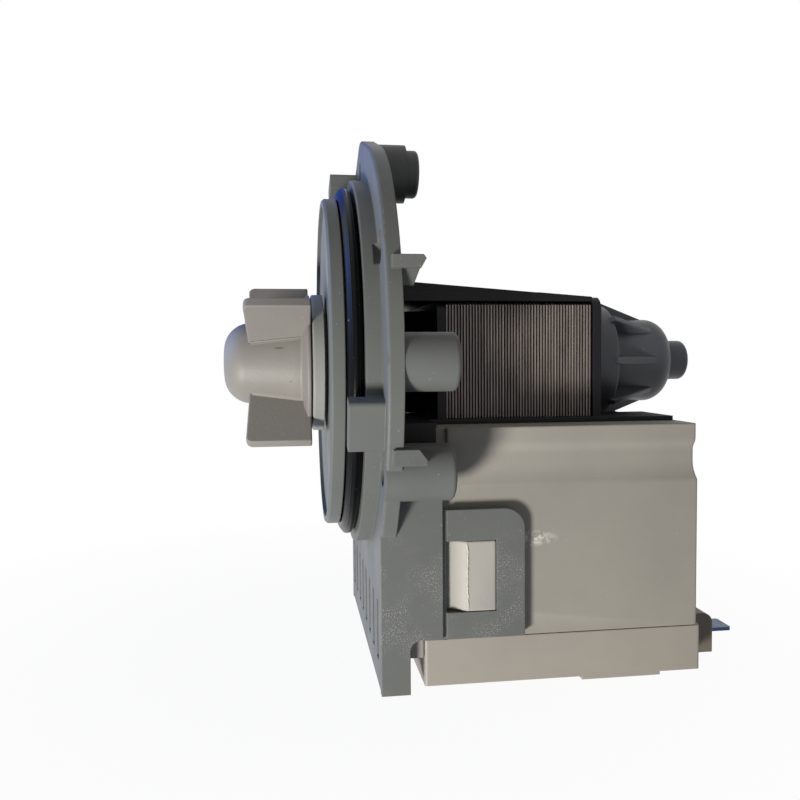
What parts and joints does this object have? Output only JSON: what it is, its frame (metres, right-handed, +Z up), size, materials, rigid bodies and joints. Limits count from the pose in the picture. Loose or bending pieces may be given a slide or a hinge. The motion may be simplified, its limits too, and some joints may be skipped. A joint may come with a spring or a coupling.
{
  "type": "drain pump",
  "caption": "Washer drain pump: vaned impeller on a sealed magnet rotor, grey plug flange with seal ring and bracket, laminated motor core, ribbed bell, boxed coils and blade terminals",
  "frame": {"origin": "on the rotor axis, in the front face of the mounting flange", "axes": "+X runs along the rotor axis from the impeller to the tail, +Z is up, and -Y is the side that the picture shows"},
  "size_m": [0.1167, 0.098, 0.1179],
  "materials": {
    "flange_plastic": "moulded grey, satin",
    "collar_plastic": "moulded pale grey, satin",
    "impeller_plastic": "moulded warm grey, satin",
    "seal_rubber": "black rubber, slight sheen",
    "black_plastic": "moulded black, satin",
    "bell_plastic": "moulded charcoal, satin",
    "housing_plastic": "moulded beige grey, satin",
    "core_steel": "stacked electrical sheet, cut edges",
    "terminal_brass": "tinned brass tab",
    "bobbin_plastic": "moulded off-white",
    "winding_copper": "varnished copper wire",
    "bush_carbon": "sintered carbon",
    "shaft_steel": "ground stainless steel",
    "carrier_plastic": "moulded white",
    "magnet_ferrite": "sintered ferrite"
  },
  "bodies": {
    "housing": {"flange_moulding": "flange_plastic", "bearing_collar": "collar_plastic", "shaft_lip_seal": "seal_rubber", "collar_seal_ring": "seal_rubber", "plug_seal_ring": "seal_rubber", "rotor_can": "black_plastic", "front_bush": "bush_carbon", "rear_bush": "bush_carbon", "front_bush_mount": "seal_rubber", "rear_bush_mount": "seal_rubber", "stator_core": "core_steel", "core_yoke": "core_steel", "motor_frame": "black_plastic", "rear_bell": "bell_plastic", "coil_housing": "housing_plastic", "coil_cover": "housing_plastic", "terminal_block": "housing_plastic", "near_terminal": "terminal_brass", "far_terminal": "terminal_brass", "near_bobbin": "bobbin_plastic", "far_bobbin": "bobbin_plastic", "near_winding": "winding_copper", "far_winding": "winding_copper", "thermal_cutout": "black_plastic"},
    "rotor": {"rotor_shaft": "shaft_steel", "magnet_carrier": "carrier_plastic", "rotor_magnet": "magnet_ferrite", "drive_dog": "carrier_plastic", "front_thrust_washer": "carrier_plastic", "rear_thrust_washer": "carrier_plastic"},
    "impeller": {"impeller": "impeller_plastic", "coupling_plug": "impeller_plastic"}
  },
  "joints": [
    {"name": "rotor_spin", "type": "hinge", "parent": "housing", "child": "rotor", "pos_m": [0, 0, 0], "axis": [1, 0, 0], "continuous": true},
    {"name": "impeller_play", "type": "hinge", "parent": "rotor", "child": "impeller", "pos_m": [0, 0, 0], "axis": [1, 0, 0], "range_deg": [0, 180]}
  ]
}
